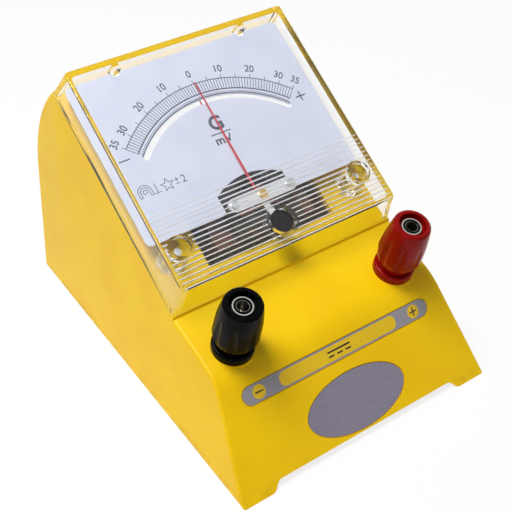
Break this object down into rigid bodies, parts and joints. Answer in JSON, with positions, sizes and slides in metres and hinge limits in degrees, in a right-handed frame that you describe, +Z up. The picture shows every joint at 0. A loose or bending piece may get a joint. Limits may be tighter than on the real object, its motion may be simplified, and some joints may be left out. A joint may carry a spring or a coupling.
{
  "type": "galvanometer",
  "caption": "Moving-coil centre-zero galvanometer in a sloping yellow case with a clear ribbed cover, zero adjuster and scalloped 4 mm binding posts.",
  "frame": {"origin": "middle of the case's footprint, on the surface it stands on", "axes": "+X to the right as seen from the front, +Y to the back, +Z up"},
  "size_m": [0.1008, 0.1426, 0.0969],
  "materials": {
    "yellow_case": "satin moulded yellow",
    "dark_plastic": "fine moulded black",
    "clear_cover": "clear polished acrylic",
    "dial_paint": "pale satin print",
    "pointer_red": "red enamel",
    "black_cap": "satin moulded black",
    "red_cap": "glossy moulded red",
    "bright_metal": "bright nickel plate",
    "brass": "turned brass",
    "steel": "zinc-plated steel",
    "iron": "dark soft iron",
    "magnet_paint": "dark red-brown lacquer",
    "aluminium": "thin drawn aluminium",
    "copper": "enamelled copper wire",
    "grey_plate": "printed grey film",
    "foam": "double-sided foam tape",
    "lead_black": "black insulation",
    "lead_red": "red insulation"
  },
  "bodies": {
    "case": {"case_shell": "yellow_case", "base_plate": "dark_plastic", "base_screws": "steel", "front_cover": "clear_cover", "cover_screws": "steel", "dial_plate": "dial_paint", "dial_pads": "foam", "mirror_strip": "bright_metal", "movement_frame": "dark_plastic", "movement_screws": "steel", "pole_shoes": "iron", "core": "iron", "core_bracket": "brass", "core_screws": "brass", "magnet": "magnet_paint", "upper_pillars": "brass", "lower_pillars": "brass", "upper_bridge": "dark_plastic", "lower_bridge": "brass", "bridge_screws": "brass", "upper_jewel_screw": "brass", "lower_jewel_screw": "brass", "spring_anchor": "brass", "post_base_black": "black_cap", "post_base_red": "red_cap", "stem_black": "bright_metal", "stem_red": "bright_metal", "post_nuts": "bright_metal", "solder_tags": "bright_metal", "spring_washers": "steel", "lead_black": "lead_black", "lead_red": "lead_red", "series_resistor": "foam", "label_bar": "grey_plate", "badge": "grey_plate"},
    "moving_coil": {"coil_former": "aluminium", "coil_winding": "copper", "staffs": "steel", "pointer_hub": "aluminium", "pointer": "pointer_red", "balance_weights": "brass", "upper_hairspring": "bright_metal", "lower_hairspring": "bright_metal"},
    "zero_screw": {"zero_screw": "dark_plastic"},
    "zero_lever": {"zero_lever": "aluminium"},
    "clamp_black": {"washer_black": "bright_metal"},
    "cap_black": {"cap_black": "black_cap", "insert_black": "brass"},
    "clamp_red": {"washer_red": "bright_metal"},
    "cap_red": {"cap_red": "red_cap", "insert_red": "brass"}
  },
  "joints": [
    {"name": "pointer_swing", "type": "hinge", "parent": "case", "child": "moving_coil", "pos_m": [0, -0.00399, 0.05306], "axis": [0, -0.5383, 0.8427], "range_deg": [-48, 48], "stiffness_Nm_per_rad": 0.00002, "deforming": ["upper_hairspring", "lower_hairspring"]},
    {"name": "zero_turn", "type": "hinge", "parent": "case", "child": "zero_screw", "pos_m": [0, -0.01362, 0.0469], "axis": [0, -0.5383, 0.8427], "range_deg": [-45, 45]},
    {"name": "zero_lever_shift", "type": "hinge", "parent": "case", "child": "zero_lever", "pos_m": [0, -0.00399, 0.05306], "axis": [0, -0.5383, 0.8427], "range_deg": [-4, 4]},
    {"name": "black_cap_rise", "type": "slide", "parent": "case", "child": "clamp_black", "axis": [0, -0.2924, 0.9563], "range_m": [0, 0.00251]},
    {"name": "black_cap_turn", "type": "hinge", "parent": "clamp_black", "child": "cap_black", "pos_m": [-0.0325, -0.0395, 0.03474], "axis": [0, -0.2924, 0.9563], "range_deg": [0, 900]},
    {"name": "red_cap_rise", "type": "slide", "parent": "case", "child": "clamp_red", "axis": [0, -0.2924, 0.9563], "range_m": [0, 0.00251]},
    {"name": "red_cap_turn", "type": "hinge", "parent": "clamp_red", "child": "cap_red", "pos_m": [0.0325, -0.0395, 0.03474], "axis": [0, -0.2924, 0.9563], "range_deg": [0, 900]}
  ],
  "couplings": [
    {"joint": "zero_lever_shift", "follows": "zero_turn", "ratio": -0.08547},
    {"joint": "black_cap_rise", "follows": "black_cap_turn", "m_per_rad": 0.00015915},
    {"joint": "red_cap_rise", "follows": "red_cap_turn", "m_per_rad": 0.00015915}
  ]
}
